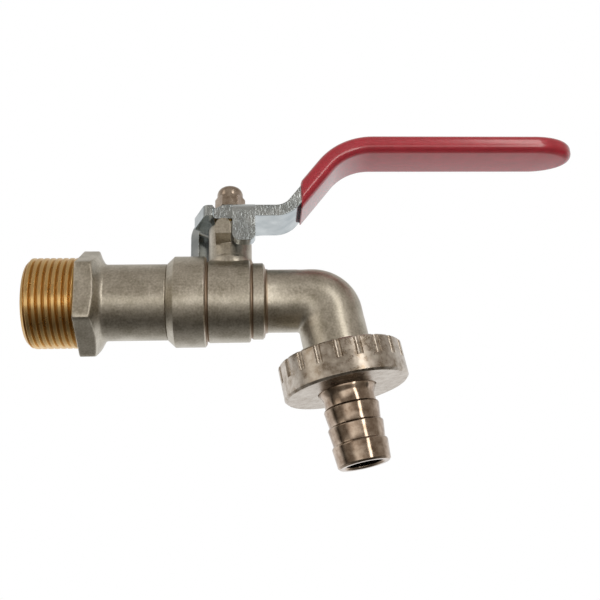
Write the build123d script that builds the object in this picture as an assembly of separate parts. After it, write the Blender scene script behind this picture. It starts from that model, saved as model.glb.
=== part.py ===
from build123d import *
import os
from math import atan2, cos, radians, sin, tan

# Quarter-turn ball bib tap with a lever and a hose union, in millimetres, +Z up.
# The inlet axis is X and points to the spout; the origin is where the rim of the pipe socket comes to rest
# on the inlet thread, a little before the hex.

# Clearances
RUN = 0.05           # running gap between turning and standing metal
SEAT = 0.02          # gap between parts that rest on each other
LAY = 0.25           # assembly gap of screwed-in parts

# Inlet connector
THREAD_R = 13.22     # 3/4 in parallel pipe thread, over the crests
THREAD_LEN = 11.4    # from the origin to the free end
THREAD_PITCH = 25.4 / 14
THREAD_DEEP = 1.16
THREAD_LAND = 0.35   # width of a crest
THREAD_LEAD = 1.3    # bevel at the free end
THREAD_RUNOUT = 0.35
SHOULDER_X = 3.4     # hex face on the thread side
HEX_AF = 28.0
HEX_TURN = 5.0       # how far the hex stands off square once the connector is screwed home
HEX_CORNER_LEN = 4.55
HEX_FLAT_LEN = 5.35  # along the middle of a flat
HEX_FLARE = 2.2      # from the flats down to the tube
TUBE_R = 11.2
INLET_BORE_R = 9.2
SEAT_BORE_R = 6.0    # waterway through seats and ball connections

# Body casting
MOUTH_X = 28.5       # face of the body that the connector screws into
COLLAR_R = 13.4
COLLAR_BEVEL = 2.1
COLLAR_END = 39.7
GROOVE = 0.35        # depth of the turned lines between collar, chamber and ring
CHAMBER_R = 12.15
CHAMBER_END = 52.5
RING_R = 11.3
RING_END = 56.6
NECK_R = 9.35
WALL = 2.5
SPIGOT_R = 10.7      # connector thread inside the collar
CAVITY_R = 9.6

# Ball and stem
STEM_X = 46.6
SEAT_BACK = 8.2      # back faces of both ball seats, from the stem axis
SEAT_T = 3.4
BALL_R = 9.0
PORT_R = 5.5
SLOT_FLOOR = 6.7
TANG = 4.0
STEM_R = 3.5
COLLET_R = 4.7       # stem shoulder that keeps the stem from leaving upward
COLLET_BASE = BALL_R + 0.2
COLLET_TOP = 10.8
WASHER_T = 0.6
BONNET_R = 6.45
BONNET_TOP = 23.5
PACK_R = 4.8
PACK_FLOOR = 14.5
PACK_T = 3.0
FLAT = 2.6           # half width across the flats that drive the lever
SCREW_R = 2.45       # M5 end of the stem

# Lever
PLATE_T = 3.5
PLATE_Z = 24.9       # underside of the lever at the hub
ARM_HALF = 7.0
RISE_ANGLE = 52.0
RISE_X = 63.9        # where the arm turns up
RISE = 23.3          # height of the grip above the hub
BEND_LOW = 7.0
BEND_HIGH = 19.0
TIP_X = 156.4
TIP_COAT = 1.6       # vinyl past the end of the steel
NOSE = 13.0          # length over which the free end narrows to a round nose
COAT = 1.15          # vinyl on the flat faces
COAT_SIDE = 0.8      # vinyl on the edges
GRIP_ROUND = 2.4
DIP_LINE = 4.3       # upright line to which the lever was dipped, past the low bend
DIP_LIP = 0.5        # bevelled rim of the coat there
LEAF_BEND = 0.8      # inside radius of the two stop leaves
LEAF_ROUND = 2.0
EAR_REACH = 7.05     # inner face of the open-stop leaf, from the stem axis
EAR_BOTTOM = 15.2
TAB_REACH = 10.2     # inner face of the closed-stop leaf
TAB_BOTTOM = 14.0
TAB_AZIMUTH = 135.0

# Stop lug on the bonnet, measured from the stem axis
LUG_LEFT = -4.2
LUG_RIGHT = 0.4
LUG_FRONT = 10.2
LUG_TOP = 22.5
LUG_LOW = 17.6       # lower edge of the front face
LUG_ROOT = 16.2      # where the underside meets the bonnet

# Lever nut, M5
NUT_AF = 8.0
NUT_HEX = 4.2
NUT_H = 7.4
NUT_DOME_R = 3.95    # collar above the hex
INSERT_R = 3.3
SPRING_T = 1.4
SPRING_R = 4.6
NUT_BASE = PLATE_Z + PLATE_T + SPRING_T + 2 * SEAT
STEM_TOP = NUT_BASE + NUT_H + 0.15

# Spout and hose union, measured along the outlet axis from the crossing of the two axes
ELBOW_X = 74.9
TILT = 10.0          # the outlet leans forward from straight down
LEG_R = 9.8
ELBOW_OUT_R = 14.5   # outside radius of the elbow
ELBOW_IN = 0.7       # inside radius of the elbow
UNION_R = 18.15
UNION_WALL = 1.6
UNION_TOP = 17.65
UNION_H = 10.35
UNION_FLOOR = 1.8
UNION_HOLE_R = 8.4
SPOUT_R = UNION_R - UNION_WALL - RUN   # thread on the spout end
SPOUT_TOP = UNION_TOP + 0.65
SPOUT_END = UNION_TOP + 5.35
SLOTS = 20
SLOT_R = 1.0         # round-bottomed slots
SLOT_LEN = 5.4
SLOT_DEEP = 0.9

# Hose tail
FLANGE_R = SPOUT_R - 1.6
FLANGE_T = 1.6
SEAL_T = 1.5
TAIL_NECK_R = 7.4    # below the shoulder that centres the nut
SHOULDER_LEN = 2.0   # cone from the nut down to the neck
BARB_R = 8.0
BARB_ROOT_R = 7.45
BARBS = (5.0, 10.3, 15.6)   # ledges below the union nut
TAIL_LEN = 21.7
TAIL_BORE_R = 5.3
TAIL_LEAD = 1.8      # widened entry at the flange

AT_STEM = Pos(STEM_X, 0, 0) * Rot(0, -90, 0)
AT_OUTLET = Pos(ELBOW_X, 0, 0) * Rot(0, 90 - TILT, 0)


def lathe(*points):
    """Turn a closed outline of (axial, radius) points about X."""
    return revolve(make_face(Polyline(*points, close=True)), Axis.X)


def rod(start, end, r):
    """A plain round bar along X."""
    return lathe((start, 0), (start, r), (end, r), (end, 0))


def tube(start, end, r_in, r_out):
    """A plain ring along X."""
    return lathe((start, r_in), (start, r_out), (end, r_out), (end, r_in))


def hex_bar(start, end, across_flats):
    """A hexagon bar along X with its flats to the front and back."""
    bar = extrude(RegularPolygon(across_flats / 2, 6, major_radius=False), end - start)
    return Pos(start, 0, 0) * Rot(0, 90, 0) * bar


def inlet_thread():
    """Outline of the thread from the free end to the hex, as rings of the thread's own profile."""
    crest = THREAD_LEAD - THREAD_LEN
    points = [(-THREAD_LEN, 0), (-THREAD_LEN, THREAD_R - THREAD_LEAD), (crest, THREAD_R)]
    flank = (THREAD_PITCH - THREAD_LAND) / 2
    while crest + THREAD_PITCH < SHOULDER_X - THREAD_RUNOUT:
        end = crest + THREAD_LAND
        points += [(end, THREAD_R), (end + flank - 0.12, THREAD_R - THREAD_DEEP),
                   (end + flank + 0.12, THREAD_R - THREAD_DEEP), (end + 2 * flank, THREAD_R)]
        crest += THREAD_PITCH
    return points + [(SHOULDER_X - THREAD_RUNOUT, THREAD_R), (SHOULDER_X + 0.1, THREAD_R - THREAD_RUNOUT - 0.1),
                     (SHOULDER_X + 0.1, TUBE_R)]


def inlet_connector():
    corner = HEX_AF / 3 ** 0.5
    flat_end = SHOULDER_X + HEX_FLAT_LEN
    drop = HEX_AF / 2 - TUBE_R
    crown = lathe((SHOULDER_X, 0), (SHOULDER_X, corner - 0.3), (SHOULDER_X + 0.2, corner),
                  (SHOULDER_X + HEX_CORNER_LEN, corner), (flat_end, HEX_AF / 2),
                  (flat_end + 0.56 * HEX_FLARE, TUBE_R + 0.2 * drop),
                  (flat_end + 0.72 * HEX_FLARE, TUBE_R + 0.08 * drop),
                  (flat_end + HEX_FLARE, TUBE_R), (flat_end + HEX_FLARE, 0))
    nut = Rot(HEX_TURN, 0, 0) * hex_bar(SHOULDER_X, flat_end + HEX_FLARE, HEX_AF) & crown
    spigot_end = STEM_X - SEAT_BACK
    shaft = lathe(*inlet_thread(), (MOUTH_X - SEAT - 0.3, TUBE_R), (MOUTH_X - SEAT, TUBE_R - 0.3),
                  (MOUTH_X - SEAT, SPIGOT_R - 0.7), (MOUTH_X + 1.2, SPIGOT_R - 0.7),
                  (MOUTH_X + 1.7, SPIGOT_R - LAY), (spigot_end - 0.6, SPIGOT_R - LAY),
                  (spigot_end, SPIGOT_R - 0.9), (spigot_end, 0))
    waterway = lathe((-THREAD_LEN - 1, 0), (-THREAD_LEN - 1, INLET_BORE_R + 1.0),
                     (-THREAD_LEN, INLET_BORE_R + 1.0), (1.0 - THREAD_LEN, INLET_BORE_R),
                     (MOUTH_X - 6, INLET_BORE_R), (MOUTH_X - 1, SEAT_BORE_R), (spigot_end + 1, SEAT_BORE_R),
                     (spigot_end + 1, 0))
    return nut + shaft - waterway


def beside(offset, z):
    """X of the line beside the outlet axis at height z; offset is positive on the outside of the elbow."""
    return ELBOW_X + (offset - z * sin(radians(TILT))) / cos(radians(TILT))


def elbow_fan(wall):
    """Elbow from the neck to the leg: sections fan about the tight inner corner.

    The outside follows its own radius, so the sections grow deeper half way round.
    """
    turn = radians(90 - TILT)
    pivot_z = -NECK_R - ELBOW_IN
    pivot_x = beside(-LEG_R - ELBOW_IN, pivot_z)
    round_z = NECK_R - ELBOW_OUT_R - pivot_z
    round_x = beside(LEG_R - ELBOW_OUT_R, NECK_R - ELBOW_OUT_R) - pivot_x
    first = atan2(round_x, round_z + ELBOW_OUT_R)
    last = atan2(round_x + ELBOW_OUT_R * sin(turn), round_z + ELBOW_OUT_R * cos(turn))
    neck = NECK_R - wall
    leg = LEG_R - wall
    faces = []
    steps = 8
    for i in range(steps + 1):
        a = turn * i / steps
        if a < first:
            outer = (2 * NECK_R + ELBOW_IN) / cos(a)
        elif a > last:
            outer = (2 * LEG_R + ELBOW_IN) / cos(turn - a)
        else:
            across = round_x * cos(a) - round_z * sin(a)
            outer = round_x * sin(a) + round_z * cos(a) + (ELBOW_OUT_R ** 2 - across ** 2) ** 0.5
        depth = (outer - ELBOW_IN) / 2 - wall
        centre = ELBOW_IN + wall + depth
        plane = Plane((pivot_x + centre * sin(a), 0, pivot_z + centre * cos(a)),
                      x_dir=(sin(a), 0, cos(a)), z_dir=(cos(a), 0, -sin(a)))
        half = neck + (leg - neck) * i / steps
        faces.append(plane * Ellipse(max(depth, half), half))
    drop = (pivot_x - ELBOW_X) * cos(turn) - pivot_z * sin(turn)
    return rod(RING_END, pivot_x, neck) + loft(faces) + AT_OUTLET * rod(drop, SPOUT_TOP + 1.5, leg)


def stop_lug():
    """Rounded lug on the front of the bonnet; its underside slopes a little down to the bonnet."""
    wide = LUG_RIGHT - LUG_LEFT
    side = make_face(Polyline((-BONNET_R + 2.0, LUG_ROOT), (-BONNET_R + 0.2, LUG_ROOT), (-LUG_FRONT, LUG_LOW),
                              (-LUG_FRONT, LUG_TOP), (-BONNET_R + 2.0, LUG_TOP), close=True))
    block = Pos(STEM_X + LUG_LEFT, 0, 0) * extrude(Plane.YZ * side, wide)
    front = Pos((LUG_LEFT + LUG_RIGHT) / 2 + STEM_X, 0, 0)
    dome = extrude(Plane.XZ * Pos(0, LUG_TOP - wide / 2) * Circle(wide / 2), 20)
    skirt = extrude(Plane.XZ * Pos(0, (LUG_TOP - wide / 2) / 2) * Rectangle(wide, LUG_TOP - wide / 2), 20)
    return block & (front * (dome + skirt))


def body():
    barrel = lathe((MOUTH_X, 0), (MOUTH_X, COLLAR_R - COLLAR_BEVEL + 0.1), (MOUTH_X + COLLAR_BEVEL, COLLAR_R),
                   (COLLAR_END - 0.5, COLLAR_R), (COLLAR_END, COLLAR_R - 0.6), (COLLAR_END, CHAMBER_R - GROOVE),
                   (COLLAR_END + 0.4, CHAMBER_R - GROOVE), (COLLAR_END + 0.4 + GROOVE, CHAMBER_R),
                   (CHAMBER_END - 0.4, CHAMBER_R), (CHAMBER_END, CHAMBER_R - 0.5), (CHAMBER_END, RING_R - GROOVE),
                   (CHAMBER_END + 0.4, RING_R - GROOVE), (CHAMBER_END + 0.4 + GROOVE, RING_R),
                   (RING_END - 0.5, RING_R), (RING_END, RING_R - 0.6), (RING_END + 0.3, NECK_R + 0.25),
                   (RING_END + 1.2, NECK_R), (RING_END + 4, NECK_R), (RING_END + 4, 0))
    flare = CHAMBER_R - 0.3
    bonnet = lathe((4, 0), (4, BONNET_R + 0.45), (flare, BONNET_R + 0.45), (flare + 1.0, BONNET_R),
                   (BONNET_TOP - 0.5, BONNET_R), (BONNET_TOP, BONNET_R - 0.5), (BONNET_TOP, 0))
    spout_end = lathe((SPOUT_TOP, 0), (SPOUT_TOP, SPOUT_R - 1.0), (SPOUT_TOP + 1.0, SPOUT_R),
                      (SPOUT_END - 0.8, SPOUT_R), (SPOUT_END, SPOUT_R - 0.8), (SPOUT_END, 0))
    casting = barrel + AT_STEM * bonnet + stop_lug() + elbow_fan(0) + AT_OUTLET * spout_end
    spigot_end = STEM_X - SEAT_BACK
    stop = STEM_X + SEAT_BACK
    cavity = lathe((MOUTH_X - 1, 0), (MOUTH_X - 1, SPIGOT_R), (spigot_end - 0.3, SPIGOT_R),
                   (spigot_end + 0.3, CAVITY_R), (stop, CAVITY_R), (stop, NECK_R - WALL),
                   (RING_END + 4, NECK_R - WALL), (RING_END + 4, 0))
    well = lathe((4, 0), (4, COLLET_R + 0.3), (COLLET_TOP + WASHER_T + SEAT, COLLET_R + 0.3),
                 (COLLET_TOP + WASHER_T + SEAT, STEM_R + RUN), (PACK_FLOOR, STEM_R + RUN), (PACK_FLOOR, PACK_R),
                 (BONNET_TOP + 1, PACK_R), (BONNET_TOP + 1, 0))
    mouth = lathe((SPOUT_TOP, 0), (SPOUT_TOP, LEG_R - WALL), (SPOUT_END - 0.6, LEG_R - WALL),
                  (SPOUT_END, LEG_R - WALL + 0.6), (SPOUT_END + 1, LEG_R - WALL + 0.6), (SPOUT_END + 1, 0))
    return casting - cavity - AT_STEM * well - elbow_fan(WALL) - AT_OUTLET * mouth


def seat(side):
    """Ball seat ring with a hollow ball face; side is -1 toward the inlet and +1 toward the outlet."""
    back = SEAT_BACK - SEAT
    front = back - SEAT_T
    touch = BALL_R + RUN
    inner = (touch ** 2 - SEAT_BORE_R ** 2) ** 0.5
    lip = (touch ** 2 - front ** 2) ** 0.5
    middle = (inner + front) / 2
    face = make_face(Polyline((front, lip), (front, CAVITY_R - 0.5), (front + 0.5, CAVITY_R - SEAT),
                              (back, CAVITY_R - SEAT), (back, SEAT_BORE_R), (inner, SEAT_BORE_R))
                     + ThreePointArc((inner, SEAT_BORE_R), (middle, (touch ** 2 - middle ** 2) ** 0.5), (front, lip)))
    return Pos(STEM_X, 0, 0) * Rot(0, 0, 0 if side > 0 else 180) * revolve(face, Axis.X)


def ball():
    sphere = Sphere(BALL_R) - rod(-BALL_R, BALL_R, PORT_R)
    slot = Pos(0, 0, SLOT_FLOOR + 5) * Box(TANG + 2 * RUN, 2 * BALL_R, 10)
    return Pos(STEM_X, 0, 0) * (sphere - slot)


def stem():
    turned = lathe((COLLET_BASE, 0), (COLLET_BASE, COLLET_R), (COLLET_TOP, COLLET_R), (COLLET_TOP, STEM_R),
                   (PLATE_Z + PLATE_T - 0.2, STEM_R), (PLATE_Z + PLATE_T - 0.2, SCREW_R),
                   (STEM_TOP - 0.6, SCREW_R), (STEM_TOP, SCREW_R - 0.8), (STEM_TOP, 0))
    whole = AT_STEM * turned
    for side in (-1, 1):
        whole -= Pos(STEM_X, side * (FLAT + 5), PLATE_Z + PLATE_T / 2) * Box(20, 10, PLATE_T)
    tang = AT_STEM * rod(SLOT_FLOOR + RUN, COLLET_BASE + 0.1, COLLET_R)
    return whole + (tang & Pos(STEM_X, 0, COLLET_BASE) * Box(TANG, 20, 10))


def gland_nut():
    floor = PACK_FLOOR + PACK_T + SEAT
    thread = tube(floor, BONNET_TOP - 0.9, STEM_R + RUN, PACK_R - RUN)
    key = hex_bar(BONNET_TOP - 1.0, PLATE_Z - 0.5, 1.7 * PACK_R) - rod(0, 40, STEM_R + RUN)
    return AT_STEM * (thread + key)


def strip_face(points, radii, half):
    """Outline of a bent flat bar: centreline points, centreline bend radii, half thickness."""
    dirs = []
    for (x0, z0), (x1, z1) in zip(points, points[1:]):
        size = ((x1 - x0) ** 2 + (z1 - z0) ** 2) ** 0.5
        dirs.append(((x1 - x0) / size, (z1 - z0) / size))
    left = []
    right = []
    for i, (x, z) in enumerate(points):
        ux, uz = dirs[max(i - 1, 0)]
        vx, vz = dirs[min(i, len(dirs) - 1)]
        nx, nz = -uz - vz, ux + vx
        scale = half / ((nx * -uz) + (nz * ux))
        left.append((x + nx * scale, z + nz * scale))
        right.append((x - nx * scale, z - nz * scale))
    face = make_face(Polyline(*left, *reversed(right), close=True))
    for i, radius in enumerate(radii, start=1):
        ux, uz = dirs[i - 1]
        vx, vz = dirs[i]
        to_left = ux * vz - uz * vx > 0
        for corner, inner in ((left[i], to_left), (right[i], not to_left)):
            near = face.vertices().sort_by_distance(Vector(corner[0], corner[1], 0))[0]
            face = fillet(near, radius - half if inner else radius + half)
    return face


def arm_path(start, end):
    """Centreline of the lever arm from x = start to x = end, in (x, z)."""
    low = PLATE_Z + PLATE_T / 2
    top_x = RISE_X + RISE / tan(radians(RISE_ANGLE))
    return [(start, low), (RISE_X, low), (top_x, low + RISE), (end, low + RISE)]


def stop_leaf(azimuth, reach, bottom, side_from, side_to):
    """Leaf of the lever plate bent down beside the bonnet, square to the given direction."""
    middle = reach + PLATE_T / 2
    z = PLATE_Z + PLATE_T / 2
    outline = strip_face([(3.9, z), (middle, z), (middle, bottom)], [LEAF_BEND + PLATE_T / 2], PLATE_T / 2)
    leaf = Pos(0, side_to, 0) * extrude(Plane.XZ * outline, side_to - side_from)
    leaf = fillet(leaf.edges().group_by(Axis.Z)[0].filter_by(Axis.X), LEAF_ROUND)
    return Pos(STEM_X, 0, 0) * Rot(0, 0, azimuth) * leaf


def lever():
    flat = strip_face(arm_path(STEM_X - 12, TIP_X - TIP_COAT), [BEND_LOW, BEND_HIGH], PLATE_T / 2)
    bar = extrude(Plane.XZ * flat, 12, both=True)
    straight = TIP_X - TIP_COAT - NOSE - STEM_X
    plan = [(straight, -ARM_HALF), (0.9, -ARM_HALF), (0.9, -5.0), (-4.6, -5.0), (-5.2, -ARM_HALF),
            (-7.6, -ARM_HALF), (-11.2, 2.6), (-9.0, 4.0), (-3.9, 9.1), (2.5, 8.9), (9.5, ARM_HALF),
            (straight, ARM_HALF)]
    outline = make_face(Polyline(*plan, close=True))
    for x, y, r in ((-7.6, -ARM_HALF, 2.0), (-11.2, 2.6, 1.0), (2.5, 8.9, 6.0), (9.5, ARM_HALF, 8.0)):
        outline = fillet(outline.vertices().sort_by_distance(Vector(x, y, 0))[0], r)
    outline = outline + Pos(straight, 0) * Ellipse(NOSE, ARM_HALF)
    plate = bar & (Pos(STEM_X, 0, 0) * extrude(outline, 70))
    ear = stop_leaf(270, EAR_REACH, EAR_BOTTOM, LUG_RIGHT + 0.4, 7.5)
    tab = stop_leaf(TAB_AZIMUTH, TAB_REACH, TAB_BOTTOM, -3.6, 3.7)
    hole = AT_STEM * rod(PLATE_Z - 1, PLATE_Z + PLATE_T + 1, STEM_R + RUN)
    hole = hole & Pos(STEM_X, 0, PLATE_Z) * Box(20, 2 * (FLAT + RUN), 20)
    return plate + ear + tab - hole


def grip(steel):
    """Dipped vinyl sleeve with a rounded free end; the lever itself is its core."""
    top_x = RISE_X + RISE / tan(radians(RISE_ANGLE))
    low = PLATE_Z + PLATE_T / 2
    lead = 0.4 * DIP_LINE
    begin = (RISE_X + lead * cos(radians(RISE_ANGLE)), low + lead * sin(radians(RISE_ANGLE)))
    flat = strip_face([begin, (top_x, low + RISE), (TIP_X, low + RISE)], [BEND_HIGH], PLATE_T / 2 + COAT)
    sleeve = extrude(Plane.XZ * flat, ARM_HALF + COAT_SIDE, both=True)
    square = Pos(TIP_X, 0, low + RISE) * Box(2 * NOSE, 4 * ARM_HALF, 4 * PLATE_T)
    plan = Pos(TIP_X - NOSE, 0, low + RISE - 2 * PLATE_T) * Ellipse(NOSE, ARM_HALF + COAT_SIDE)
    sleeve = sleeve - (square - extrude(plan, 4 * PLATE_T))
    rim = sleeve.faces().sort_by_distance(Vector(begin[0], 0, begin[1]))[0].edges()
    outer = []
    for edge in sleeve.edges():
        way = edge.tangent_at(0.5)
        seam = abs(way.Z) > 0.99 or (abs(way.Y) > 0.99 and edge.center().X < TIP_X - 0.1)
        if not seam and edge not in rim:
            outer.append(edge)
    undipped = Pos(RISE_X + DIP_LINE - RISE, 0, low) * Box(2 * RISE, 4 * ARM_HALF, 4 * RISE)
    sleeve = fillet(outer, GRIP_ROUND) - undipped
    dip = sleeve.faces().sort_by(Axis.X)[0]
    return chamfer(dip.edges(), DIP_LIP) - steel


def spring_washer():
    """Split washer: the ring ends stand a little apart."""
    start = PLATE_Z + PLATE_T + SEAT
    ring = tube(start, start + SPRING_T, SCREW_R + 0.2, SPRING_R)
    gap = Pos(0, 4, 0) * Rot(0, 25, 0) * Box(8, 4, 0.8)
    return AT_STEM * (ring - Pos(start + SPRING_T / 2, 0, 0) * gap)


def lever_nut():
    corner = NUT_AF / 3 ** 0.5
    top = NUT_BASE + NUT_H
    shelf = NUT_BASE + NUT_HEX
    crown = lathe((NUT_BASE, 0), (NUT_BASE, NUT_AF / 2 - 0.2), (NUT_BASE + 0.55, corner),
                  (shelf - 0.55, corner), (shelf, NUT_AF / 2 - 0.2), (shelf, 0))
    collar = lathe((NUT_BASE, 0), (NUT_BASE, NUT_DOME_R), (top - 1.9, NUT_DOME_R),
                   (top - 1.0, NUT_DOME_R - 0.3), (top - 0.4, NUT_DOME_R - 0.75), (top, NUT_DOME_R - 1.3), (top, 0))
    well = lathe((NUT_BASE - 1, 0), (NUT_BASE - 1, SCREW_R + SEAT), (shelf, SCREW_R + SEAT),
                 (shelf, INSERT_R), (top - 1.2, INSERT_R), (top - 0.6, SCREW_R + 0.1), (top + 1, SCREW_R + 0.1),
                 (top + 1, 0))
    return AT_STEM * ((hex_bar(NUT_BASE, shelf, NUT_AF) & crown) + collar - well)


def nut_insert():
    """Nylon locking ring held in the collar of the nut."""
    start = NUT_BASE + NUT_HEX + SEAT
    return AT_STEM * tube(start, NUT_BASE + NUT_H - 1.25, SCREW_R + SEAT, INSERT_R - SEAT)


def union_nut():
    end = UNION_TOP + UNION_H
    floor = end - UNION_FLOOR
    cup = lathe((UNION_TOP, SPOUT_R + RUN + 0.5), (UNION_TOP, UNION_R - 0.5), (UNION_TOP + 0.5, UNION_R),
                (end - 0.6, UNION_R), (end, UNION_R - 0.6), (end, UNION_HOLE_R + 0.3), (end - 0.3, UNION_HOLE_R),
                (floor, UNION_HOLE_R), (floor, SPOUT_R + RUN), (UNION_TOP + 0.5, SPOUT_R + RUN))
    slot = Pos(0, 0, UNION_R + SLOT_R - SLOT_DEEP) * rod(UNION_TOP - 1, UNION_TOP + SLOT_LEN, SLOT_R)
    for i in range(SLOTS):
        cup -= Rot(360 / SLOTS * (i + 0.5), 0, 0) * slot
    return AT_OUTLET * cup


def tail_washer():
    start = SPOUT_END + SEAT
    return AT_OUTLET * tube(start, start + SEAL_T, LEG_R - WALL + 0.6, FLANGE_R - 0.2)


def hose_tail():
    end = UNION_TOP + UNION_H
    top = end - UNION_FLOOR - RUN - FLANGE_T
    shoulder = UNION_HOLE_R - 2 * RUN
    points = [(top + TAIL_LEAD, TAIL_BORE_R), (top, TAIL_BORE_R + TAIL_LEAD), (top, FLANGE_R - 0.3),
              (top + 0.3, FLANGE_R), (top + FLANGE_T, FLANGE_R), (top + FLANGE_T, shoulder),
              (end - 0.2, shoulder), (end + SHOULDER_LEN, TAIL_NECK_R)]
    low = TAIL_NECK_R
    for i, ledge in enumerate(BARBS):
        points += [(end + ledge - 0.25, low), (end + ledge, BARB_R - 0.15), (end + ledge + 0.35, BARB_R)]
        low = BARB_ROOT_R
        if i + 1 < len(BARBS):
            points.append((end + BARBS[i + 1] - 0.6, low))
    points += [(end + TAIL_LEN - 0.5, BARB_ROOT_R + 0.1), (end + TAIL_LEN, BARB_ROOT_R - 0.4),
               (end + TAIL_LEN, TAIL_BORE_R + 0.5), (end + TAIL_LEN - 0.5, TAIL_BORE_R)]
    return AT_OUTLET * lathe(*points)


os.makedirs("parts", exist_ok=True)
steel_lever = lever()
nodes = {
    "inlet_connector": inlet_connector(),
    "body": body(),
    "seat_inlet": seat(-1),
    "seat_outlet": seat(1),
    "ball": ball(),
    "stem": stem(),
    "thrust_washer": AT_STEM * tube(COLLET_TOP + SEAT / 2, COLLET_TOP + WASHER_T, STEM_R + RUN, COLLET_R),
    "stem_packing": AT_STEM * tube(PACK_FLOOR + SEAT, PACK_FLOOR + PACK_T, STEM_R + RUN, PACK_R - SEAT),
    "gland_nut": gland_nut(),
    "lever": steel_lever,
    "grip": grip(steel_lever),
    "spring_washer": spring_washer(),
    "lever_nut": lever_nut(),
    "nut_insert": nut_insert(),
    "union_nut": union_nut(),
    "tail_washer": tail_washer(),
    "hose_tail": hose_tail(),
}
for name, solid in nodes.items():
    export_step(solid, f"parts/{name}.step")
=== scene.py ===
import math

import bmesh
import bpy
from mathutils import Matrix, Vector


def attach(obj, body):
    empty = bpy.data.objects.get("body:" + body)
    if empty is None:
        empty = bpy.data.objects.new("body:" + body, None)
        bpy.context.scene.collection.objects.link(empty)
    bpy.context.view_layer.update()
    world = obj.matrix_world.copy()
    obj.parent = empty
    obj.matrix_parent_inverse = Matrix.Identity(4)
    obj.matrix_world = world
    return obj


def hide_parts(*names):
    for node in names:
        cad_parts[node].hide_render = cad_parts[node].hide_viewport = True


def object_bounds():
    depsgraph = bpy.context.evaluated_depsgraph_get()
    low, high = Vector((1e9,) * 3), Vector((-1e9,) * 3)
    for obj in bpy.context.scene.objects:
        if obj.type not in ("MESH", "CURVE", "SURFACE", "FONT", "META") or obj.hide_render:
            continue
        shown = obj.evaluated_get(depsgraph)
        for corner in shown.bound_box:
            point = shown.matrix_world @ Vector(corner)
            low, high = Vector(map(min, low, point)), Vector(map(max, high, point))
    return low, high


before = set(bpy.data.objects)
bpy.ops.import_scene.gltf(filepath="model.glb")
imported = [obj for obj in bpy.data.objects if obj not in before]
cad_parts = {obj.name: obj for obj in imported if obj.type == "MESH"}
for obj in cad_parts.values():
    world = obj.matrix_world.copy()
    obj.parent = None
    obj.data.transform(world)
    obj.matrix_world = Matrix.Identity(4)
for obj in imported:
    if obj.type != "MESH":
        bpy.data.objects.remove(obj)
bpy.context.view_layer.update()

MM = 0.001
OUTLET_LEAN = math.radians(10)          # the outlet leans forward from straight down
AROUND = 144                            # steps round a turned surface
WAVE_TURN = 20                          # radians that a wave texture turns through over one unit at scale 1
SOLID_CREASE = 25                       # degrees past which an edge of a copied solid stays crisp
CONNECTOR_CREASE = 28                   # the same for the inlet connector

# Inlet connector: places along the inlet axis and radii from it, in mm
THREAD_FROM, THREAD_TO = -11.4, 3.4     # free end, and the face of the hexagon
THREAD_PITCH = 25.4 / 14                # 14 turns to the inch
THREAD_CREST = 13.22
THREAD_ROOT = 12.4                      # a little shallower than the standard groove
THREAD_FLANK = 0.3                      # share of the pitch from the middle of a groove up to the crest
THREAD_STEPS = 281                      # steps along the thread
LEAD_R = 11.92                          # free end, from which the lead-in rises at 45 degrees
NECK_R = 12.7                           # radius into which the last turn runs out
NECK_RUN = 0.7                          # length over which it does so
NECK_STEP = 0.1                         # length of the step from there down to the tube
TUBE_R, TUBE_END, TUBE_BREAK = 11.2, 28.48, 0.3
UNDERCUT_R, UNDERCUT_END = 10.0, 29.7
SPIGOT_R, SPIGOT_FROM, SPIGOT_END = 10.45, 30.2, 38.4
SPIGOT_LEAD, SPIGOT_LEAD_DEEP = 0.6, 0.65
BORE_R, BORE_END = 9.2, 22.5            # wide bore from the free end
BORE_LEAD = 1.0
PORT_R, PORT_FROM = 6.0, 27.5           # narrower way on to the ball

# Hexagon of the connector, in mm and degrees
HEX_FLATS = 28.0
HEX_CORNER_LEN, HEX_FLAT_LEN = 4.55, 5.35
HEX_FLARE = 2.2                         # length over which the back flares down to the tube
HEX_TURNED = 5.0                        # degrees by which the front flat looks down
HEX_EDGE = 0.25                         # broken edges of the flats
HEX_BACK_EDGE = 0.1                     # the same edge at the back, measured along the axis
HEX_CORNER_CUT = 0.2                    # how far the corners are turned down
HEX_SUNK = 0.2                          # how far the thread-side face goes down into the tube
FLARE_START = (0.08, 0.2)               # past the flats along the axis, and below them
FLARE_CURVE = ((0.56, 0.2), (0.72, 0.08))   # share of the flare's length, share of its drop still left
FLARE_SUNK = 0.02                       # how far the end of the flare goes down into the tube

# Turned grooves of the casting, which get a painted shade line of darker brownish grey: place along the inlet
# axis and half width, in mm
GROOVES = ((39.95, 0.45), (52.75, 0.4), (56.9, 0.5))
BONNET_FOOT = 12.5                      # height in mm up to which the grooves' painted shade runs


def linear(code):
    """sRGB hex colour as linear RGBA."""
    parts = [int(code[i:i + 2], 16) / 255 for i in (1, 3, 5)]
    return [c / 12.92 if c <= 0.04045 else ((c + 0.055) / 1.055) ** 2.4 for c in parts] + [1.0]


def every(size_mm):
    """Scale of a pattern whose marks are size_mm across."""
    return 1 / (size_mm * MM)


def node(tree, kind, inputs=None, **settings):
    """Add a node; inputs take plain values or other nodes' output sockets."""
    made = tree.nodes.new(kind)
    for key, value in settings.items():
        setattr(made, key, value)
    for key, value in (inputs or {}).items():
        if isinstance(value, bpy.types.NodeSocket):
            tree.links.new(value, made.inputs[key])
        else:
            made.inputs[key].default_value = value
    return made


def new_finish(name, **sockets):
    """Material with one Principled shader; sockets are constants of the finish."""
    material = bpy.data.materials.new(name)
    material.use_nodes = True
    shader = material.node_tree.nodes["Principled BSDF"]
    for key, value in sockets.items():
        shader.inputs[key.replace("_", " ")].default_value = value
    return material, material.node_tree, shader


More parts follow.
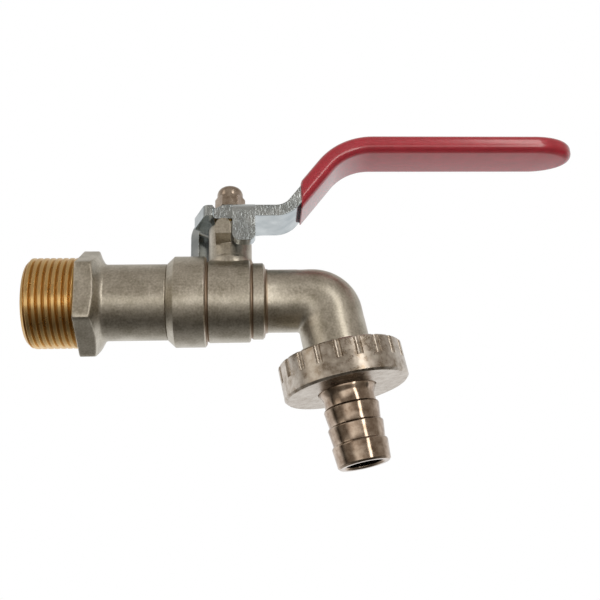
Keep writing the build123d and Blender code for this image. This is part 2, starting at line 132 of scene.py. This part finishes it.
def two_tone(tree, shader, spots, field, dark, light):
    """Colour drifts between two tones where the given field runs from spots[0] to spots[1]."""
    ramp = node(tree, "ShaderNodeValToRGB", {"Fac": field})
    for stop, spot, code in zip(ramp.color_ramp.elements, spots, (dark, light)):
        stop.position = spot
        stop.color = linear(code)
    tree.links.new(ramp.outputs["Color"], shader.inputs["Base Color"])
    return ramp


def uneven_gloss(tree, shader, spots, field, smooth, dull):
    """Roughness drifts from smooth to dull where the given field runs from spots[0] to spots[1]."""
    rough = node(tree, "ShaderNodeMapRange", {"Value": field, "From Min": spots[0], "From Max": spots[1],
                                              "To Min": smooth, "To Max": dull})
    tree.links.new(rough.outputs["Result"], shader.inputs["Roughness"])


def relief(tree, shader, height, strength, depth_mm, edge_mm=None):
    """Bump from a height field; with an edge size, corners also catch the light as if worn round by it."""
    bump = node(tree, "ShaderNodeBump", {"Height": height, "Strength": strength, "Distance": depth_mm * MM})
    if edge_mm:
        soft = node(tree, "ShaderNodeBevel", {"Radius": edge_mm * MM}, samples=6)
        tree.links.new(soft.outputs["Normal"], bump.inputs["Normal"])
    tree.links.new(bump.outputs["Normal"], shader.inputs["Normal"])


def satin_nickel(name, grooves=()):
    """Nickel plate on bead-blasted brass: warm grey, a soft wide sheen, a fine pitted grain, worn corners.

    The blast grain is about 0.2 mm and is drawn at 0.6 mm so that it shows; stains drift over some 5 mm.
    """
    material, tree, shader = new_finish(name, Metallic=1.0)
    place = node(tree, "ShaderNodeTexCoord").outputs["Object"]
    grain = node(tree, "ShaderNodeTexNoise", {"Vector": place, "Scale": every(0.6),
                                              "Detail": 3.0}).outputs["Fac"]
    stain = node(tree, "ShaderNodeTexNoise", {"Vector": place, "Scale": every(5),
                                              "Detail": 4.0}).outputs["Fac"]
    both = node(tree, "ShaderNodeMath", {0: grain, 1: stain}, operation="ADD")
    mean = node(tree, "ShaderNodeMath", {0: both.outputs[0], 1: 0.5}, operation="MULTIPLY")
    ramp = two_tone(tree, shader, (0.36, 0.64), mean.outputs[0], "#ABA495", "#D8D2C6")
    # Painted shade: each turned groove below the bonnet's foot is tinted a darker brownish grey, standing in
    # for the shade that falls in it
    if grooves:
        xyz = node(tree, "ShaderNodeSeparateXYZ", {"Vector": place}).outputs
        in_grooves = 0.0
        for at, half_wide in grooves:
            line = node(tree, "ShaderNodeMath", {0: xyz["X"], 1: at * MM, 2: half_wide * MM},
                        operation="COMPARE")
            in_grooves = node(tree, "ShaderNodeMath", {0: in_grooves, 1: line.outputs[0]}, operation="MAXIMUM").outputs[0]
        low = node(tree, "ShaderNodeMath", {0: xyz["Z"], 1: BONNET_FOOT * MM}, operation="LESS_THAN")
        painted_groove_shade = node(tree, "ShaderNodeMath", {0: in_grooves, 1: low.outputs[0]}, operation="MULTIPLY")
        mix = node(tree, "ShaderNodeMix", {0: painted_groove_shade.outputs[0], 6: ramp.outputs["Color"],
                                           7: linear("#AE9B88")}, data_type="RGBA")
        tree.links.new(mix.outputs[2], shader.inputs["Base Color"])
    uneven_gloss(tree, shader, (0.3, 0.7), grain, 0.3, 0.44)
    relief(tree, shader, grain, 0.5, 0.05, edge_mm=0.4)
    return material


def bright_nickel(name, dark, light, lathe_lines, smooth, dull):
    """Nickel plate on tumbled or turned metal: mirror-like, warm reflections, soft scuffs, worn corners.

    Scuffs are some 2.4 mm across. Turning lines lie about 0.1 mm apart on the real one, which is too fine to
    show, so they are drawn as faint waves of about 3 mm along the outlet.
    """
    material, tree, shader = new_finish(name, Metallic=1.0)
    place = node(tree, "ShaderNodeTexCoord").outputs["Object"]
    scuff = node(tree, "ShaderNodeTexNoise", {"Vector": place, "Scale": every(2.4), "Detail": 5.0,
                                              "Roughness": 0.62}).outputs["Fac"]
    two_tone(tree, shader, (0.34, 0.66), scuff, dark, light)
    uneven_gloss(tree, shader, (0.3, 0.7), scuff, smooth, dull)
    outlet = node(tree, "ShaderNodeMapping", {"Vector": place, "Rotation": (0, OUTLET_LEAN, 0)},
                  vector_type="POINT")
    lines = node(tree, "ShaderNodeTexWave", {"Vector": outlet.outputs["Vector"],
                                             "Scale": math.tau * every(3.14) / WAVE_TURN,
                                             "Distortion": 0.6, "Detail": 2.0, "Detail Scale": 1.0},
                 wave_type="BANDS", bands_direction="Z")
    faint = node(tree, "ShaderNodeMath", {0: lines.outputs["Fac"], 1: lathe_lines}, operation="MULTIPLY")
    dents = node(tree, "ShaderNodeMath", {0: scuff, 1: faint.outputs[0]}, operation="ADD")
    relief(tree, shader, dents.outputs[0], 0.25, 0.04, edge_mm=0.25)
    return material


def bare_brass():
    """Machined brass left bare at the thread: golden, with painted shade that darkens it low in the grooves
    and painted light on the crests.

    Tarnish drifts over some 3 mm.
    """
    material, tree, shader = new_finish("machined_brass", Metallic=1.0)
    place = node(tree, "ShaderNodeTexCoord").outputs["Object"]
    xyz = node(tree, "ShaderNodeSeparateXYZ", {"Vector": place}).outputs
    outward = node(tree, "ShaderNodeCombineXYZ", {"Y": xyz["Y"], "Z": xyz["Z"]})
    radius = node(tree, "ShaderNodeVectorMath", {0: outward.outputs["Vector"]}, operation="LENGTH")
    # Painted shade and light: by radius the tone runs from darker at the root to lighter at the crest,
    # standing in for shade in the grooves and light on the crests
    height = node(tree, "ShaderNodeMapRange", {"Value": radius.outputs["Value"], "From Min": THREAD_ROOT * MM,
                                               "From Max": THREAD_CREST * MM})
    tarnish = node(tree, "ShaderNodeTexNoise", {"Vector": place, "Scale": every(3),
                                                "Detail": 4.0}).outputs["Fac"]
    tarnish_and_painted_shade = node(tree, "ShaderNodeMath", {0: tarnish, 1: 0.35, 2: height.outputs["Result"]},
                 operation="MULTIPLY_ADD")
    two_tone(tree, shader, (0.1, 1.0), tarnish_and_painted_shade.outputs[0], "#CBA66C", "#E4C084")
    uneven_gloss(tree, shader, (0.3, 0.7), tarnish, 0.24, 0.36)
    return material


def zinc_steel():
    """Zinc plate on pressed steel: cold silver faces, worn corners, sheared edges with upright tear marks.

    Tears are some 0.6 mm wide and 1.4 mm tall; the plate's tone drifts over some 6 mm.
    """
    material, tree, shader = new_finish("zinc_plated_steel", Metallic=1.0)
    coords = node(tree, "ShaderNodeTexCoord").outputs
    cloud = node(tree, "ShaderNodeTexNoise", {"Vector": coords["Object"], "Scale": every(6), "Detail": 3.0})
    two_tone(tree, shader, (0.3, 0.7), cloud.outputs["Fac"], "#A3ABAF", "#CDD3D5")
    facing = node(tree, "ShaderNodeSeparateXYZ", {"Vector": coords["Normal"]})
    side = node(tree, "ShaderNodeMath", {0: facing.outputs["Y"]}, operation="ABSOLUTE")
    sheared = node(tree, "ShaderNodeMapRange", {"Value": side.outputs[0], "From Min": 0.75, "From Max": 0.9})
    upright = node(tree, "ShaderNodeMapping", {"Vector": coords["Object"],
                                               "Scale": (every(0.6), every(3), every(1.4))})
    tears = node(tree, "ShaderNodeTexNoise", {"Vector": upright.outputs["Vector"], "Scale": 1.0,
                                              "Detail": 3.0})
    torn = node(tree, "ShaderNodeMath", {0: tears.outputs["Fac"], 1: sheared.outputs["Result"]},
                operation="MULTIPLY").outputs[0]
    uneven_gloss(tree, shader, (0.0, 0.6), torn, 0.16, 0.3)
    relief(tree, shader, torn, 0.8, 0.2, edge_mm=0.45)
    return material


def red_vinyl():
    """Plastisol dip on the lever: deep red and glossy, with a faint orange peel of some 3 mm."""
    material, tree, shader = new_finish("dipped_red_vinyl", IOR=1.53, Roughness=0.3, Coat_Weight=1.0,
                                        Coat_Roughness=0.14)
    place = node(tree, "ShaderNodeTexCoord").outputs["Object"]
    peel = node(tree, "ShaderNodeTexNoise", {"Vector": place, "Scale": every(3),
                                             "Detail": 2.0}).outputs["Fac"]
    two_tone(tree, shader, (0.3, 0.7), peel, "#980F21", "#A21427")
    relief(tree, shader, peel, 0.2, 0.08)
    return material


def plain_inner(name, dark, light, size_mm, **sockets):
    """Finish of an inner piece: two close tones in a fine cloud."""
    material, tree, shader = new_finish(name, **sockets)
    place = node(tree, "ShaderNodeTexCoord").outputs["Object"]
    cloud = node(tree, "ShaderNodeTexNoise", {"Vector": place, "Scale": every(size_mm),
                                              "Detail": 3.0}).outputs["Fac"]
    two_tone(tree, shader, (0.3, 0.7), cloud, dark, light)
    relief(tree, shader, cloud, 0.15, 0.03)
    return material


FINISH = {
    "satin_nickel": satin_nickel("satin_nickel_on_blasted_brass"),
    "satin_body": satin_nickel("satin_nickel_on_blasted_brass_body", GROOVES),
    "union": bright_nickel("tumbled_nickel_on_brass", "#9C8E7E", "#DBD3C9", 0.1, 0.22, 0.38),
    "tail": bright_nickel("polished_nickel_on_turned_brass", "#8C7867", "#C2B1A1", 0.12, 0.07, 0.16),
    "nut": bright_nickel("bright_nickel_on_steel", "#9C8A7A", "#C6B8AA", 0.1, 0.16, 0.3),
    "brass": bare_brass(),
    "zinc": zinc_steel(),
    "vinyl": red_vinyl(),
    "ptfe": plain_inner("ptfe_turned_from_rod", "#DCDCD6", "#F0F0EC", 1.0, Roughness=0.45, IOR=1.35),
    "rubber": plain_inner("moulded_black_rubber", "#141414", "#242424", 0.8, Roughness=0.7),
    "chrome": plain_inner("chrome_plated_ball", "#C9CCCF", "#D8DADC", 2.0, Metallic=1.0, Roughness=0.06),
    "turned_brass": plain_inner("turned_brass_bar", "#C39A55", "#D8B476", 0.7, Metallic=1.0, Roughness=0.28),
    "nylon": plain_inner("moulded_nylon_ring", "#D9DFE4", "#EDF0F2", 1.0, Roughness=0.5, IOR=1.53),
}


def put(name, mesh, body, slot, *nodes):
    """Link a finished mesh as a piece that rides on a body and stands for the given solids."""
    piece = bpy.data.objects.new(name, mesh)
    bpy.context.scene.collection.objects.link(piece)
    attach(piece, body)
    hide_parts(*nodes)


def shade_round(mesh, crease):
    """Round shading with edges kept crisp past the crease angle in degrees."""
    mesh.shade_smooth()
    mesh.set_sharp_from_angle(angle=math.radians(crease))


def from_solid(name, solid, body, slot, material):
    """Copy of a solid's mesh, seams merged and curved faces shaded round."""
    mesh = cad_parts[solid].data.copy()
    mesh.name = name
    if "custom_normal" in mesh.attributes:
        mesh.attributes.remove(mesh.attributes["custom_normal"])
    shape = bmesh.new()
    shape.from_mesh(mesh)
    bmesh.ops.remove_doubles(shape, verts=shape.verts, dist=0.002 * MM)
    shape.to_mesh(mesh)
    shape.free()
    shade_round(mesh, SOLID_CREASE)
    mesh.materials.clear()
    mesh.materials.append(material)
    put(name, mesh, body, slot, solid)


def thread_tree(material):
    """Node tree that winds a screw thread about X: a sheet is rolled up and its radius follows the helix."""
    tree = bpy.data.node_groups.new("wound_thread", "GeometryNodeTree")
    for label in ("Start", "Length", "Pitch", "Flank", "Root radius", "Crest radius", "First radius",
                  "Last radius", "Runout"):
        tree.interface.new_socket(label, in_out="INPUT", socket_type="NodeSocketFloat")
    for label in ("Steps along", "Steps round"):
        tree.interface.new_socket(label, in_out="INPUT", socket_type="NodeSocketInt")
    tree.interface.new_socket("Mesh", in_out="OUTPUT", socket_type="NodeSocketGeometry")
    size = node(tree, "NodeGroupInput").outputs
    sheet = node(tree, "GeometryNodeMeshGrid", {"Size X": size["Length"], "Size Y": 1.0,
                                                "Vertices X": size["Steps along"],
                                                "Vertices Y": size["Steps round"]})
    flat = node(tree, "ShaderNodeSeparateXYZ", {"Vector": node(tree, "GeometryNodeInputPosition").outputs[0]})
    along = node(tree, "ShaderNodeMath", {0: size["Length"], 1: 0.5, 2: flat.outputs["X"]},
                 operation="MULTIPLY_ADD").outputs[0]
    turn = node(tree, "ShaderNodeMath", {0: flat.outputs["Y"], 1: 0.5}, operation="ADD").outputs[0]
    turns = node(tree, "ShaderNodeMath", {0: along, 1: size["Pitch"]}, operation="DIVIDE").outputs[0]
    phase = node(tree, "ShaderNodeMath", {0: turns, 1: turn}, operation="SUBTRACT").outputs[0]
    ridge = node(tree, "ShaderNodeMath", {0: phase, 1: 0.5}, operation="PINGPONG").outputs[0]
    rounded = node(tree, "ShaderNodeMapRange", {"Value": ridge, "From Min": 0.0, "From Max": size["Flank"]},
                   interpolation_type="SMOOTHSTEP").outputs["Result"]
    helix = node(tree, "ShaderNodeMapRange", {"Value": rounded, "To Min": size["Root radius"],
                                              "To Max": size["Crest radius"]}).outputs["Result"]
    lead = node(tree, "ShaderNodeMath", {0: along, 1: size["First radius"]}, operation="ADD").outputs[0]
    cut = node(tree, "ShaderNodeMath", {0: helix, 1: lead}, operation="MINIMUM").outputs[0]
    left = node(tree, "ShaderNodeMath", {0: size["Length"], 1: along}, operation="SUBTRACT").outputs[0]
    fade = node(tree, "ShaderNodeMapRange", {"Value": left, "From Min": 0.0, "From Max": size["Runout"],
                                             "To Min": 1.0, "To Max": 0.0},
                interpolation_type="SMOOTHSTEP").outputs["Result"]
    radius = node(tree, "ShaderNodeMapRange", {"Value": fade, "To Min": cut,
                                               "To Max": size["Last radius"]}).outputs["Result"]
    angle = node(tree, "ShaderNodeMath", {0: turn, 1: math.tau}, operation="MULTIPLY").outputs[0]
    across = node(tree, "ShaderNodeMath", {0: angle}, operation="COSINE").outputs[0]
    up = node(tree, "ShaderNodeMath", {0: angle}, operation="SINE").outputs[0]
    x = node(tree, "ShaderNodeMath", {0: along, 1: size["Start"]}, operation="ADD").outputs[0]
    y = node(tree, "ShaderNodeMath", {0: across, 1: radius}, operation="MULTIPLY").outputs[0]
    z = node(tree, "ShaderNodeMath", {0: up, 1: radius}, operation="MULTIPLY").outputs[0]
    rolled = node(tree, "ShaderNodeCombineXYZ", {"X": x, "Y": y, "Z": z}).outputs[0]
    wound = node(tree, "GeometryNodeSetPosition", {"Geometry": sheet.outputs["Mesh"], "Position": rolled})
    outward = node(tree, "GeometryNodeFlipFaces", {"Mesh": wound.outputs["Geometry"]})
    seam = node(tree, "GeometryNodeMergeByDistance", {"Geometry": outward.outputs["Mesh"],
                                                      "Distance": 0.001 * MM})
    real = node(tree, "GeometryNodeRealizeInstances", {"Geometry": seam.outputs["Geometry"]})
    coloured = node(tree, "GeometryNodeSetMaterial", {"Geometry": real.outputs["Geometry"],
                                                      "Material": material})
    node(tree, "NodeGroupOutput", {"Mesh": coloured.outputs["Geometry"]})
    return tree


def wind(tree, **sizes):
    """Plain mesh of the thread tree; sizes are in metres or steps, and the flank is a share of the pitch."""
    carrier = bpy.data.objects.new("thread_blank", bpy.data.meshes.new("thread_blank"))
    bpy.context.scene.collection.objects.link(carrier)
    modifier = carrier.modifiers.new("thread", "NODES")
    modifier.node_group = tree
    for item in tree.interface.items_tree:
        if item.in_out == "INPUT":
            modifier[item.identifier] = sizes[item.name.replace(" ", "_").lower()]
    mesh = bpy.data.meshes.new_from_object(carrier.evaluated_get(bpy.context.evaluated_depsgraph_get()))
    carrier.modifiers.remove(modifier)
    bpy.data.objects.remove(carrier)
    return mesh


def skin(shape, rings, index):
    """Faces between each ring of points and the next, in the material of the given index."""
    for a, b in zip(rings, rings[1:]):
        for i in range(len(a)):
            j = (i + 1) % len(a)
            shape.faces.new((a[i], a[j], b[j], b[i])).material_index = index


def spin_outline(shape, outline, index):
    """Add a turned surface about X to a bmesh, from (x, radius) points in mm, with the thread's steps."""
    angles = [math.tau * i / AROUND for i in range(AROUND)]
    rings = [[shape.verts.new((x * MM, r * MM * math.cos(angle), r * MM * math.sin(angle)))
              for angle in angles] for x, r in outline]
    skin(shape, rings, index)


def hex_collar(shape, start, index):
    """Add the hexagon to a bmesh: square on the thread side, flared down to the tube on the other."""
    corner = HEX_FLATS / math.sqrt(3)
    flat = HEX_FLATS / 2
    drop = flat - TUBE_R
    low = start + HEX_FLAT_LEN
    flare = [(low + FLARE_START[0], flat - FLARE_START[1]),
             *((low + along * HEX_FLARE, TUBE_R + left * drop) for along, left in FLARE_CURVE),
             (low + HEX_FLARE, TUBE_R - FLARE_SUNK)]
    columns = []
    for i in range(AROUND):
        angle = math.tau * i / AROUND
        off_flat = (angle + math.pi / 6) % (math.pi / 3) - math.pi / 6
        r = min(flat / math.cos(off_flat), corner - HEX_CORNER_CUT)
        back = start + HEX_CORNER_LEN + (HEX_FLAT_LEN - HEX_CORNER_LEN) * (corner - r) / (corner - flat)
        turn = angle - math.radians(HEX_TURNED)
        outline = [(start, TUBE_R - HEX_SUNK), (start, r - HEX_EDGE), (start + HEX_EDGE, r),
                   (back - HEX_EDGE, r), (back + HEX_BACK_EDGE, r - HEX_EDGE), *flare]
        columns.append([shape.verts.new((x * MM, -rad * MM * math.cos(turn), rad * MM * math.sin(turn)))
                        for x, rad in outline])
    rings = list(zip(*columns))
    skin(shape, rings + rings[:1], index)


def inlet_piece():
    """Screw-in connector: wound pipe thread, hexagon collar, plain tube, spigot and bore."""
    thread = wind(thread_tree(FINISH["brass"]), start=THREAD_FROM * MM, length=(THREAD_TO - THREAD_FROM) * MM,
                  pitch=THREAD_PITCH * MM, flank=THREAD_FLANK, root_radius=THREAD_ROOT * MM,
                  crest_radius=THREAD_CREST * MM, first_radius=LEAD_R * MM, last_radius=NECK_R * MM,
                  runout=NECK_RUN * MM, steps_along=THREAD_STEPS, steps_round=AROUND + 1)
    thread.name = "threaded_connector"
    thread.materials.clear()
    for finish in ("brass", "satin_nickel"):
        thread.materials.append(FINISH[finish])
    bare, plated = 0, 1
    shape = bmesh.new()
    shape.from_mesh(thread)
    spin_outline(shape, ((THREAD_TO, NECK_R), (THREAD_TO + NECK_STEP, TUBE_R),
                         (TUBE_END - TUBE_BREAK, TUBE_R), (TUBE_END, TUBE_R - TUBE_BREAK),
                         (TUBE_END, UNDERCUT_R), (UNDERCUT_END, UNDERCUT_R),
                         (SPIGOT_FROM, SPIGOT_R), (SPIGOT_END - SPIGOT_LEAD, SPIGOT_R),
                         (SPIGOT_END, SPIGOT_R - SPIGOT_LEAD_DEEP), (SPIGOT_END, PORT_R), (PORT_FROM, PORT_R),
                         (BORE_END, BORE_R)), plated)
    spin_outline(shape, ((BORE_END, BORE_R), (THREAD_FROM + BORE_LEAD, BORE_R),
                         (THREAD_FROM, BORE_R + BORE_LEAD), (THREAD_FROM, LEAD_R)), bare)
    bmesh.ops.remove_doubles(shape, verts=shape.verts, dist=0.003 * MM)
    bmesh.ops.recalc_face_normals(shape, faces=shape.faces)
    hexagon = bmesh.new()
    hex_collar(hexagon, THREAD_TO, plated)
    bmesh.ops.recalc_face_normals(hexagon, faces=hexagon.faces)
    spare = bpy.data.meshes.new("hexagon")
    hexagon.to_mesh(spare)
    hexagon.free()
    shape.from_mesh(spare)
    bpy.data.meshes.remove(spare)
    shape.to_mesh(thread)
    shape.free()
    shade_round(thread, CONNECTOR_CREASE)
    put("threaded_connector", thread, "tap", "satin_nickel", "inlet_connector")


inlet_piece()
from_solid("tap_casting", "body", "tap", "satin_nickel", FINISH["satin_body"])
from_solid("cranked_lever", "lever", "lever_set", "zinc_steel", FINISH["zinc"])
from_solid("dipped_grip", "grip", "lever_set", "red_vinyl", FINISH["vinyl"])
from_solid("lock_nut", "lever_nut", "lever_set", "bright_nickel", FINISH["nut"])
from_solid("split_washer", "spring_washer", "lever_set", "zinc_steel", FINISH["zinc"])
from_solid("lever_stem", "stem", "lever_set", "turned_brass", FINISH["turned_brass"])
from_solid("packing_gland", "gland_nut", "tap", "turned_brass", FINISH["turned_brass"])
from_solid("slotted_union_nut", "union_nut", "union", "bright_nickel", FINISH["union"])
from_solid("barbed_tail", "hose_tail", "tail_set", "bright_nickel", FINISH["tail"])
from_solid("valve_ball", "ball", "lever_set", "chrome_ball", FINISH["chrome"])
from_solid("inlet_ball_seat", "seat_inlet", "tap", "ptfe", FINISH["ptfe"])
from_solid("outlet_ball_seat", "seat_outlet", "tap", "ptfe", FINISH["ptfe"])
from_solid("stem_thrust_ring", "thrust_washer", "tap", "ptfe", FINISH["ptfe"])
from_solid("stem_packing_ring", "stem_packing", "tap", "ptfe", FINISH["ptfe"])
from_solid("union_seal", "tail_washer", "tail_set", "black_rubber", FINISH["rubber"])
from_solid("nut_lock_ring", "nut_insert", "lever_set", "nylon", FINISH["nylon"])


# Stage, in metres
FLOOR_HALF = 2.0
FLOOR_GAP = 0.0003                      # the floor lies just clear of the tap
FLOOR_FADE = (0.12, 0.5)                # distances from the tap between which the floor fades into white
FLOOR_LIFT = 0.4                        # white that the camera alone sees on the floor
TENT_RADIUS = 1.5
WORLD_FILL = 0.3
# Name, place from the tap's middle, width, height, watts
SOFTBOXES = (("key_softbox", (0.28, -0.62, 0.42), 0.42, 0.6, 3.2),
             ("left_softbox", (-0.55, -0.5, 0.35), 0.5, 0.5, 1.4),
             ("top_softbox", (0.05, 0.1, 0.8), 0.8, 0.6, 2.4))
# Tones of the tent round the X axis, in degrees up from the front (-90 is below, 90 above, 180 behind)
TENT_CLOTH = ((-180, "#FFFFFF"), (-158, "#FFFFFF"), (-132, "#B0AEAA"), (-110, "#8C8984"), (-85, "#4C4944"),
              (-62, "#56524C"), (-38, "#7E786F"), (0, "#9A9288"), (48, "#ACA69E"), (82, "#A39C94"),
              (125, "#CFCDC9"), (160, "#F4F4F4"), (180, "#FFFFFF"))
# Bright windows of the tent: degrees to the right, half width in degrees, lower and upper end as the sine
# of their height, tone, strength
TENT_WINDOWS = ((26, 5, -0.35, 0.65, "#FFFCF6", 3.8), (-62, 12, -0.1, 0.7, "#FFF8EC", 0.7),
                (-6, 34, -0.42, -0.06, "#FFFCF6", 0.9))
WINDOW_BLUR = 0.4                       # share of its half width over which a window's sides fade, each way
WINDOW_END_BLUR = 0.1                   # the same for its ends, in sine of height


def stage_cloth(name):
    """Empty material for the stage, and its node tree."""
    material = bpy.data.materials.new(name)
    material.use_nodes = True
    material.node_tree.nodes.clear()
    return material, material.node_tree


def pale_floor(low, middle):
    """Matt white floor under the tap, which fades into the white behind it and can't be seen from below."""
    h = FLOOR_HALF
    mesh = bpy.data.meshes.new("pale_floor")
    mesh.from_pydata([(-h, -h, 0), (h, -h, 0), (h, h, 0), (-h, h, 0)], [], [(0, 1, 2, 3)])
    mesh.transform(Matrix.Translation((middle.x, middle.y, low.z - FLOOR_GAP)))
    floor = bpy.data.objects.new("pale_floor", mesh)
    bpy.context.scene.collection.objects.link(floor)
    floor.visible_glossy = False
    paint, tree = stage_cloth("matt_white_floor")
    matt = node(tree, "ShaderNodeBsdfDiffuse", {"Color": linear("#F4F4F2")})
    seen = node(tree, "ShaderNodeLightPath").outputs["Is Camera Ray"]
    lift = node(tree, "ShaderNodeMath", {0: seen, 1: FLOOR_LIFT}, operation="MULTIPLY")
    pale = node(tree, "ShaderNodeEmission", {"Color": linear("#FFFFFF"), "Strength": lift.outputs[0]})
    bright = node(tree, "ShaderNodeAddShader", {0: matt.outputs[0], 1: pale.outputs[0]})
    place = node(tree, "ShaderNodeTexCoord").outputs["Object"]
    away = node(tree, "ShaderNodeVectorMath", {0: place, 1: middle}, operation="DISTANCE")
    far = node(tree, "ShaderNodeMapRange", {"Value": away.outputs["Value"], "From Min": FLOOR_FADE[0],
                                            "From Max": FLOOR_FADE[1]}, interpolation_type="SMOOTHSTEP")
    under = node(tree, "ShaderNodeNewGeometry").outputs["Backfacing"]
    gone = node(tree, "ShaderNodeMath", {0: under, 1: far.outputs["Result"]}, operation="MAXIMUM")
    clear = node(tree, "ShaderNodeBsdfTransparent")
    sheet = node(tree, "ShaderNodeMixShader", {0: gone.outputs[0], 1: bright.outputs[0], 2: clear.outputs[0]})
    node(tree, "ShaderNodeOutputMaterial", {"Surface": sheet.outputs[0]})
    mesh.materials.append(paint)


def tent_window(tree, swing, height, window):
    """Glow of one bright window of the tent, from the angle to the right and the sine of the height."""
    middle_deg, half_deg, low_end, high_end, code, power = window
    turned = node(tree, "ShaderNodeMath", {0: swing, 1: math.radians(middle_deg)}, operation="SUBTRACT")
    aside = node(tree, "ShaderNodeMath", {0: turned.outputs[0]}, operation="ABSOLUTE").outputs[0]
    glow = power
    for field, edge, blur, below, above in (
            (aside, math.radians(half_deg), math.radians(half_deg) * WINDOW_BLUR, 1.0, 0.0),
            (height, low_end, WINDOW_END_BLUR, 0.0, 1.0),
            (height, high_end, WINDOW_END_BLUR, 1.0, 0.0)):
        side = node(tree, "ShaderNodeMapRange", {"Value": field, "From Min": edge - blur,
                                                 "From Max": edge + blur,
                                                 "To Min": below, "To Max": above},
                    interpolation_type="SMOOTHSTEP").outputs["Result"]
        glow = node(tree, "ShaderNodeMath", {0: glow, 1: side}, operation="MULTIPLY").outputs[0]
    return node(tree, "ShaderNodeVectorMath", {0: linear(code)[:3], "Scale": glow},
                operation="SCALE").outputs[0]


def reflection_tent(middle):
    """Tent round the tap that only reflections see: toned cloth with bright windows."""
    mesh = bpy.data.meshes.new("reflection_tent")
    shell = bmesh.new()
    bmesh.ops.create_uvsphere(shell, u_segments=48, v_segments=24, radius=TENT_RADIUS)
    shell.to_mesh(mesh)
    shell.free()
    mesh.transform(Matrix.Translation(middle))
    tent = bpy.data.objects.new("reflection_tent", mesh)
    bpy.context.scene.collection.objects.link(tent)
    tent.visible_camera = False
    tent.visible_diffuse = False
    tent.visible_shadow = False
    tent.visible_transmission = False
    glow, tree = stage_cloth("tent_cloth")
    place = node(tree, "ShaderNodeTexCoord").outputs["Object"]
    offset = node(tree, "ShaderNodeVectorMath", {0: place, 1: middle}, operation="SUBTRACT")
    unit = node(tree, "ShaderNodeVectorMath", {0: offset.outputs[0]}, operation="NORMALIZE")
    way = node(tree, "ShaderNodeSeparateXYZ", {"Vector": unit.outputs[0]}).outputs
    front = node(tree, "ShaderNodeMath", {0: way["Y"], 1: -1.0}, operation="MULTIPLY").outputs[0]
    lift = node(tree, "ShaderNodeMath", {0: way["Z"], 1: front}, operation="ARCTAN2").outputs[0]
    around = node(tree, "ShaderNodeMapRange", {"Value": lift, "From Min": -math.pi, "From Max": math.pi})
    cloth = node(tree, "ShaderNodeValToRGB", {"Fac": around.outputs["Result"]})
    stops = cloth.color_ramp.elements
    stops[0].color = linear(TENT_CLOTH[0][1])
    stops[1].color = linear(TENT_CLOTH[-1][1])
    for degrees, code in TENT_CLOTH[1:-1]:
        stops.new((degrees + 180) / 360).color = linear(code)
    swing = node(tree, "ShaderNodeMath", {0: way["X"], 1: front}, operation="ARCTAN2").outputs[0]
    total = cloth.outputs["Color"]
    for window in TENT_WINDOWS:
        pane = tent_window(tree, swing, way["Z"], window)
        total = node(tree, "ShaderNodeVectorMath", {0: total, 1: pane}, operation="ADD").outputs[0]
    light = node(tree, "ShaderNodeEmission", {"Color": total, "Strength": 1.0})
    node(tree, "ShaderNodeOutputMaterial", {"Surface": light.outputs[0]})
    mesh.materials.append(glow)


def softboxes(middle):
    """Soft lamps that light the tap and the floor but don't show in reflections."""
    for name, at, wide, tall, watts in SOFTBOXES:
        lamp = bpy.data.lights.new(name, "AREA")
        lamp.shape = "RECTANGLE"
        lamp.size = wide
        lamp.size_y = tall
        lamp.energy = watts
        holder = bpy.data.objects.new(name, lamp)
        bpy.context.scene.collection.objects.link(holder)
        holder.visible_glossy = False
        holder.location = middle + Vector(at)
        holder.rotation_euler = Vector(at).to_track_quat("Z", "Y").to_euler()


def white_world():
    """White to the camera and in reflections, and a faint even fill for the rest of the light."""
    world = bpy.data.worlds.new("white_studio")
    bpy.context.scene.world = world
    world.use_nodes = True
    tree = world.node_tree
    tree.nodes.clear()
    path = node(tree, "ShaderNodeLightPath").outputs
    seen = path["Is Camera Ray"]
    for ray in ("Is Glossy Ray", "Is Transmission Ray"):
        seen = node(tree, "ShaderNodeMath", {0: seen, 1: path[ray]}, operation="MAXIMUM").outputs[0]
    fill = node(tree, "ShaderNodeBackground", {"Color": linear("#F2F4F6"), "Strength": WORLD_FILL})
    white = node(tree, "ShaderNodeBackground", {"Color": linear("#FFFFFF"), "Strength": 1.0})
    sky = node(tree, "ShaderNodeMixShader", {0: seen, 1: fill.outputs[0], 2: white.outputs[0]})
    node(tree, "ShaderNodeOutputWorld", {"Surface": sky.outputs[0]})


def studio():
    """Pale floor that fades into white, soft lamps, and a tent that only reflections see."""
    low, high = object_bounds()
    middle = (low + high) / 2
    pale_floor(low, middle)
    reflection_tent(middle)
    softboxes(middle)
    white_world()
    bpy.context.scene.view_settings.view_transform = "Standard"


def photo_camera():
    """Camera at the photograph's angle: in front, a little to the left and below."""
    look = Vector((67.14, 0, 0.30)) * MM
    away = 252.18 * MM
    rise, swing, roll = math.radians(-21.25), math.radians(-3.93), math.radians(-2.03)
    back = Vector((math.sin(swing) * math.cos(rise), -math.cos(swing) * math.cos(rise), math.sin(rise)))
    right = Vector((math.cos(swing), math.sin(swing), 0))
    up = back.cross(right)
    right, up = (math.cos(roll) * right + math.sin(roll) * up, math.cos(roll) * up - math.sin(roll) * right)
    data = bpy.data.cameras.new("photo_camera")
    data.sensor_width = 36
    data.lens = 51.0
    data.clip_start = 0.01
    camera = bpy.data.objects.new("photo_camera", data)
    bpy.context.scene.collection.objects.link(camera)
    place = Matrix((right, up, back)).transposed().to_4x4()
    place.translation = look + away * back
    camera.matrix_world = place
    bpy.context.scene.camera = camera


studio()
photo_camera()
